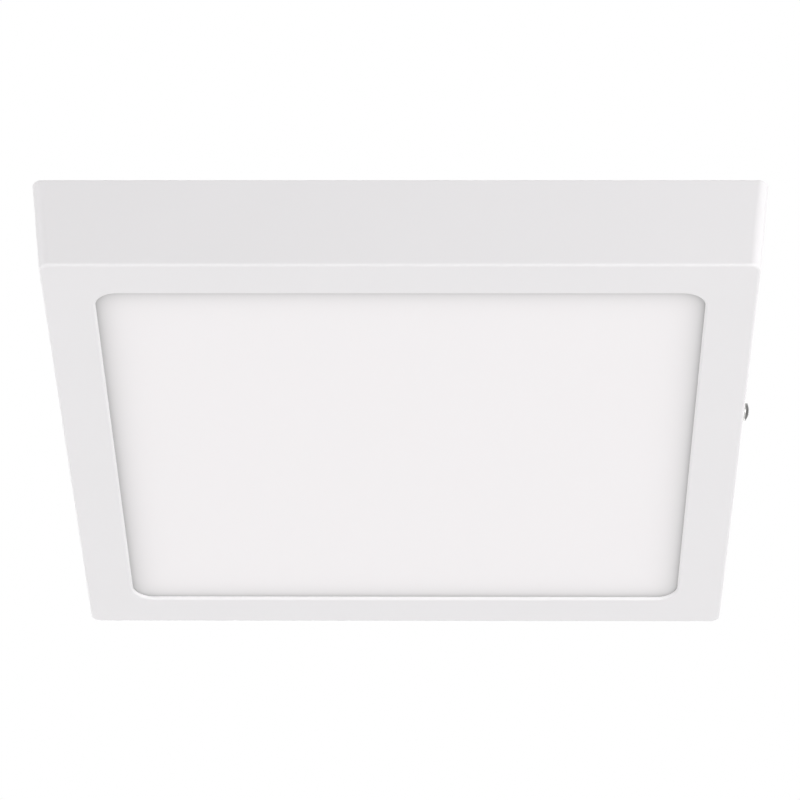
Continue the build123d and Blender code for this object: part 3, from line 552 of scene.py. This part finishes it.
# Leads: single wires in coloured insulation, extruded, with a slight sheen.
# The mains leads run from the terminal to the driver,
# and the thin ones from the driver to the LED boards.
lead_colours = (
    ("brown_insulation", (0.16, 0.065, 0.03, 1), ("mains_lead_live",)),
    ("blue_insulation", (0.03, 0.13, 0.48, 1), ("mains_lead_neutral",)),
    ("red_insulation", (0.48, 0.025, 0.025, 1), ("output_lead_positive", "strip_link_positive")),
    ("black_insulation", (0.025, 0.025, 0.027, 1), ("output_lead_negative", "strip_link_negative")),
)
wear_tint = (0.5, 0.48, 0.46, 1)
wear_share = 0.12
lead_roughness = 0.32
scuff_size = 1.5 * millimetre
scuff_height = 0.01 * millimetre
scuff_roughness = 0.18

for finish_name, colour, lead_names in lead_colours:
    insulation, sockets, place = start_finish(finish_name)
    scuff = place.noise(scuff_size, detail=4.0)
    feed(
        sockets,
        base_color=(wear_share * scuff).mix(colour, wear_tint),
        roughness=lead_roughness + scuff_roughness * scuff,
        normal=scuff.bump(scuff_height),
    )
    finish_nodes(insulation, *lead_names)

# Earth lead: the same wire in green and yellow, which wind round it in bands.
# It ends in a tinned ring that the earth screw holds on the back plate.
earth_green = (0.03, 0.3, 0.06, 1)
earth_yellow = (0.8, 0.62, 0.03, 1)
band_pitch = 3.6 * millimetre
band_slant = 1.4
tin_light = (0.78, 0.78, 0.765, 1)
tin_dark = (0.66, 0.66, 0.65, 1)

earth_insulation, sockets, place = start_finish("earth_insulation")
winding = place.axis("X") + place.axis("Y") + band_slant * place.axis("Z")
band = (winding % band_pitch).below(band_pitch / 2)
scuff = place.noise(scuff_size, detail=4.0)
feed(
    sockets,
    base_color=band.mix(earth_yellow, earth_green),
    roughness=lead_roughness + scuff_roughness * scuff,
)
finish_nodes(earth_insulation, "earth_lead")

tinned_ring = clouded_finish(
    "tinned_ring",
    tin_light,
    tin_dark,
    cloud_size=1.2 * millimetre,
    roughness=0.3,
    spread=0.2,
    detail=3.0,
    metallic=1.0,
)
finish_nodes(tinned_ring, "earth_ring")

# Ceiling bracket and its nut: a folded strip of galvanised steel, with the zinc's flat crystals.
# It is screwed to the ceiling. Its hook carries the lamp on the left,
# and the nut clinched in its tab takes the screw on the right.
crystal_light = (0.62, 0.63, 0.645, 1)
crystal_dark = (0.53, 0.54, 0.555, 1)
crystal_size = 4.5 * millimetre
crystal_stretch = 1.6
crystal_share = 0.75
crystal_roughness = 0.08
frost_size = 0.9 * millimetre
frost_height = 0.006 * millimetre
frost_share = 0.25
frost_roughness = 0.08
galvanised_roughness = 0.28

galvanised, sockets, place = start_finish("galvanised", metallic=1.0)
crystal = place.stretched(crystal_stretch, 1, 1).cells(crystal_size)
frost = place.noise(frost_size, detail=3.0)
feed(
    sockets,
    base_color=(crystal_share * crystal + frost_share * frost).mix(crystal_light, crystal_dark),
    roughness=galvanised_roughness + crystal_roughness * crystal + frost_roughness * frost,
    normal=frost.bump(frost_height),
)
finish_nodes(galvanised, "mounting_bracket", "clinch_nut")

# Washer: a ring of natural nylon under the head of the side screw, punched from sheet.
# It keeps the head from cutting into the coat, and it comes out with the screw.
washer_white = (0.8, 0.8, 0.785, 1)
washer_shade = (0.73, 0.73, 0.715, 1)

washer_nylon = clouded_finish(
    "washer_nylon",
    washer_white,
    washer_shade,
    cloud_size=2.5 * millimetre,
    roughness=0.4,
    spread=0.1,
)
finish_nodes(washer_nylon, "side_washer")

# Side screw: a machine screw with a domed head and a cross recess, steel with bright nickel plating.
# It goes through the washer, the wall of the housing and the bracket's tab into the nut.
# The plating's colours are painted dark, in blotches, as a painted reflection of dark surroundings, and
# the pale band round the rim of the head, next to its seat, is a painted highlight.
nickel_reflection_light = (0.17, 0.168, 0.166, 1)
nickel_reflection_dark = (0.03, 0.03, 0.029, 1)
nickel_painted_highlight = (0.45, 0.447, 0.44, 1)
nickel_roughness = 0.16
reflection_blotch_size = 1.5 * millimetre
reflection_blotch_contrast = 2.5
reflection_blotch_roughness = 0.14
highlight_band_height = 0.42 * millimetre
highlight_band_fade = 0.25 * millimetre
head_radius = 4.2 * millimetre
head_height = 1.87 * millimetre
head_rim = 0.57 * millimetre
head_edge_radius = 0.12 * millimetre
head_edge_steps = 3
dome_rings = 96
recess_reach = 4.8 * millimetre
recess_width = 1.5 * millimetre
recess_depth = 1.4 * millimetre
recess_taper = 0.55
recess_overlap = 0.45 * millimetre
shank_radius = 2.0 * millimetre
shank_length = 10.5 * millimetre
shank_overlap = 0.45 * millimetre
thread_pitch = 0.7 * millimetre
thread_depth = 0.38 * millimetre
thread_tip = 0.7 * millimetre
rows_each_turn = 8
round_segments = 48
merge_distance = 0.002 * millimetre
sharp_angle = math.radians(35)
seat_height = 0.8 * millimetre


def object_of(bm, name):
    """A new object with a bmesh's faces, its normals pointing outwards."""
    bmesh.ops.recalc_face_normals(bm, faces=bm.faces)
    mesh = bpy.data.meshes.new(name)
    bm.to_mesh(mesh)
    bm.free()
    made = bpy.data.objects.new(name, mesh)
    bpy.context.scene.collection.objects.link(made)
    return made


def only(kind, items):
    """The items of one kind, edges or vertices, out of those that an operator returns."""
    return [item for item in items if isinstance(item, kind)]


head = bmesh.new()
dome_height = head_height - head_rim
dome_radius = (head_radius ** 2 + dome_height ** 2) / (2 * dome_height)
bmesh.ops.create_uvsphere(
    head,
    u_segments=round_segments,
    v_segments=dome_rings,
    radius=dome_radius,
    matrix=Matrix.Translation((0, 0, head_height - dome_radius)),
)
trimmed = bmesh.ops.bisect_plane(
    head,
    geom=head.verts[:] + head.edges[:] + head.faces[:],
    plane_co=(0, 0, head_rim),
    plane_no=(0, 0, 1),
    clear_inner=True,
)
dome_rim = only(bmesh.types.BMEdge, trimmed["geom_cut"])
side = bmesh.ops.extrude_edge_only(head, edges=dome_rim)
seat_verts = only(bmesh.types.BMVert, side["geom"])
seat_edges = only(bmesh.types.BMEdge, side["geom"])
bmesh.ops.translate(head, verts=seat_verts, vec=(0, 0, -head_rim))
bmesh.ops.holes_fill(head, edges=seat_edges)
bmesh.ops.bevel(
    head,
    geom=dome_rim,
    offset=head_edge_radius,
    affect="EDGES",
    segments=head_edge_steps,
    profile=0.5,
    material=-1,
)
screw_head = object_of(head, "screw_head")

shank = bmesh.new()
shank_middle = (shank_overlap - shank_length) / 2
bmesh.ops.create_cone(
    shank,
    cap_ends=True,
    segments=round_segments,
    radius1=shank_radius,
    radius2=shank_radius,
    depth=shank_length + shank_overlap,
    matrix=Matrix.Translation((0, 0, shank_middle)),
)
upright = [edge for edge in shank.edges if edge.calc_length() > shank_length]
row_count = round((shank_length + shank_overlap) / thread_pitch * rows_each_turn)
bmesh.ops.subdivide_edges(shank, edges=upright, cuts=row_count)
for vert in shank.verts:
    turn = math.atan2(vert.co.y, vert.co.x) / math.tau
    from_crest = abs((vert.co.z / thread_pitch - turn) % 1 - 0.5) * 2
    tip = max(0.0, (-vert.co.z - shank_length + thread_tip) / thread_tip)
    radius = shank_radius - thread_depth * from_crest
    radius = min(radius, shank_radius - tip * thread_tip)
    vert.co.x = radius * math.cos(turn * math.tau)
    vert.co.y = radius * math.sin(turn * math.tau)
screw_shank = object_of(shank, "screw_shank")

# The recess is cut by a grid of three by three squares without its corner squares.
cross = bmesh.new()
grid_half = 0.5
bmesh.ops.create_grid(cross, x_segments=3, y_segments=3, size=grid_half)
for vert in cross.verts:
    width_x = recess_reach if abs(vert.co.x) > grid_half / 2 else recess_width
    width_y = recess_reach if abs(vert.co.y) > grid_half / 2 else recess_width
    vert.co.x = math.copysign(width_x / 2, vert.co.x)
    vert.co.y = math.copysign(width_y / 2, vert.co.y)
    vert.co.z = head_height + recess_overlap
corner_squares = [
    face for face in cross.faces
    if min(abs(face.calc_center_median().x), abs(face.calc_center_median().y)) > recess_width / 2
]
bmesh.ops.delete(cross, geom=corner_squares, context="FACES")
grown = bmesh.ops.extrude_face_region(cross, geom=cross.faces[:])
recess_floor = only(bmesh.types.BMVert, grown["geom"])
bmesh.ops.scale(cross, verts=recess_floor, vec=(recess_taper, recess_taper, 1))
bmesh.ops.translate(cross, verts=recess_floor, vec=(0, 0, -recess_depth - recess_overlap))
screw_cross = object_of(cross, "screw_cross")

for tool, operation in ((screw_shank, "UNION"), (screw_cross, "DIFFERENCE")):
    cut = screw_head.modifiers.new(operation.lower(), "BOOLEAN")
    cut.object = tool
    cut.operation = operation
    cut.solver = "EXACT"
turn_joint = next(joint for joint in frame["joints"] if joint["name"] == "screw_turn")
screw_axis = Vector(turn_joint["axis"])
head_seat = Vector(turn_joint["pos_m"]) + screw_axis * seat_height
stand = Matrix.Translation(head_seat) @ screw_axis.to_track_quat("Z", "Y").to_matrix().to_4x4()
bpy.context.view_layer.update()
whole_screw = screw_head.evaluated_get(bpy.context.evaluated_depsgraph_get())
screw_mesh = bpy.data.meshes.new_from_object(whole_screw)
merged = bmesh.new()
merged.from_mesh(screw_mesh)
bmesh.ops.remove_doubles(merged, verts=merged.verts, dist=merge_distance)
merged.to_mesh(screw_mesh)
merged.free()
screw_mesh.transform(stand)
screw_mesh.shade_smooth()
screw_mesh.set_sharp_from_angle(angle=sharp_angle)
for tool in (screw_head, screw_shank, screw_cross):
    bpy.data.objects.remove(tool)
side_screw = bpy.data.objects.new("nickel_side_screw", screw_mesh)
bpy.context.scene.collection.objects.link(side_screw)

nickel_plating, sockets, place = start_finish("nickel_plating", metallic=1.0)
# Painted reflection in dark blotches, and a painted highlight round the rim of the head.
blotch = place.noise(reflection_blotch_size, detail=4.0)
cloud = ((blotch - 0.5) * reflection_blotch_contrast + 0.5).largest(0).smallest(1)
painted_reflection = cloud.mix(nickel_reflection_light, nickel_reflection_dark)
height = place.node(
    "VectorMath",
    {"operation": "DOT_PRODUCT"},
    {0: place, 1: screw_axis},
    output="Value",
)
from_rim = (height - (head_seat.dot(screw_axis) + highlight_band_height)) / highlight_band_fade
feed(
    sockets,
    base_color=from_rim.largest(0).smallest(1).mix(nickel_painted_highlight, painted_reflection),
    roughness=nickel_roughness + reflection_blotch_roughness * cloud,
)
screw_mesh.materials.clear()
screw_mesh.materials.append(nickel_plating)
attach(side_screw, "screw")
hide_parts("side_screw")

# Floor: a plain pale sheet far below the lamp, because the lamp hangs at the ceiling.
# What the camera and reflections see of it is raised to white, with its shadows kept on top,
# and the lamp gets only the light that it throws back.
floor_depth = 2.6
floor_half = 6.0
floor_pale = (0.8, 0.8, 0.8, 1)
floor_shade = (0.77, 0.77, 0.77, 1)
floor_mottle = 0.4
floor_roughness = 0.9
floor_glow = 0.75
pure_white = (1, 1, 1, 1)


def shows_background(tree):
    """1 for rays from the camera, in reflections and through glass, and 0 for rays that carry light."""
    camera_ray = Value(tree).node("LightPath", {}, {}, output="Is Camera Ray")
    rays = camera_ray.socket.node.outputs
    glossy_ray = Value(tree, rays["Is Glossy Ray"])
    glass_ray = Value(tree, rays["Is Transmission Ray"])
    return camera_ray.largest(glass_ray).largest(glossy_ray)


ground = bmesh.new()
bmesh.ops.create_grid(
    ground,
    x_segments=1,
    y_segments=1,
    size=floor_half,
    matrix=Matrix.Translation((0, 0, -floor_depth)),
)
floor = object_of(ground, "floor")
pale_floor, sockets, place = start_finish("pale_floor", roughness=floor_roughness)
feed(sockets, base_color=place.noise(floor_mottle).mix(floor_pale, floor_shade))
tree = pale_floor.node_tree
surface = Value(tree, tree.nodes["Principled BSDF"].outputs[0])
glow = place.node("Emission", {}, {"Color": pure_white, "Strength": floor_glow})
whitened = place.node("AddShader", {}, {0: surface, 1: glow})
shown = place.node("MixShader", {}, {0: shows_background(tree), 1: surface, 2: whitened})
tree.links.new(shown.socket, tree.nodes["Material Output"].inputs["Surface"])
floor.data.materials.append(pale_floor)

# Studio light: a dim white surround, two large soft lights in front, one below and one higher,
# one on each side, one behind and below, and two more for the back of the lamp.
# The side lights stay out of reflections, so that the face keeps its tone when seen low from a side.
surround_light = 0.292
studio = bpy.data.worlds.new("studio")
studio.use_nodes = True
background = studio.node_tree.nodes["Background"]
strength = surround_light + (1 - surround_light) * shows_background(studio.node_tree)
background.inputs["Color"].default_value = pure_white
studio.node_tree.links.new(strength.socket, background.inputs["Strength"])
bpy.context.scene.world = studio

# Each light's name, place and width in metres, power in watts, and whether reflections show it.
soft_lights = (
    ("front_light", (1.0, -3.0, -1.75), 1.6, 36.9, True),
    ("high_light", (1.8, -2.6, -0.7), 1.6, 39.2, True),
    ("right_light", (1.5, -0.1, -0.45), 1.0, 8.8, False),
    ("left_light", (-1.5, -0.1, -0.45), 1.0, 15.3, False),
    ("far_light", (0.2, 1.8, -1.2), 1.4, 7.9, True),
    ("back_light", (-0.4, 3.0, 0.5), 1.6, 20.0, True),
    ("top_light", (0.3, 0.9, 1.6), 1.4, 20.0, True),
)
lamp_middle = (cad_box[0] + cad_box[1]) / 2
for light_name, light_place, light_width, light_power, light_shows in soft_lights:
    light = bpy.data.lights.new(light_name, "AREA")
    light.size = light_width
    light.energy = light_power
    soft_light = bpy.data.objects.new(light_name, light)
    soft_light.location = light_place
    soft_light.rotation_euler = (lamp_middle - soft_light.location).to_track_quat("-Z", "Y").to_euler()
    soft_light.visible_camera = False
    soft_light.visible_glossy = light_shows
    bpy.context.scene.collection.objects.link(soft_light)

# Camera: below and in front of the lamp, looking up at it through a long lens.
# Its place and angles were fitted to the edges of the lamp in the photograph.
camera_place = Vector((18.23, -1451.67, -942.10)) * millimetre
camera_tilt = math.radians(32.673)
camera_turn = math.radians(0.771)
camera_roll = math.radians(0.449)
camera_data = bpy.data.cameras.new("photo_camera")
camera_data.lens = 177.48
camera_data.sensor_width = 36.0
camera = bpy.data.objects.new("photo_camera", camera_data)
camera.matrix_world = (
    Matrix.Translation(camera_place)
    @ Matrix.Rotation(camera_turn, 4, "Z")
    @ Matrix.Rotation(math.pi / 2 + camera_tilt, 4, "X")
    @ Matrix.Rotation(camera_roll, 4, "Z")
)
bpy.context.scene.collection.objects.link(camera)
bpy.context.scene.camera = camera
bpy.context.scene.view_settings.view_transform = "Standard"
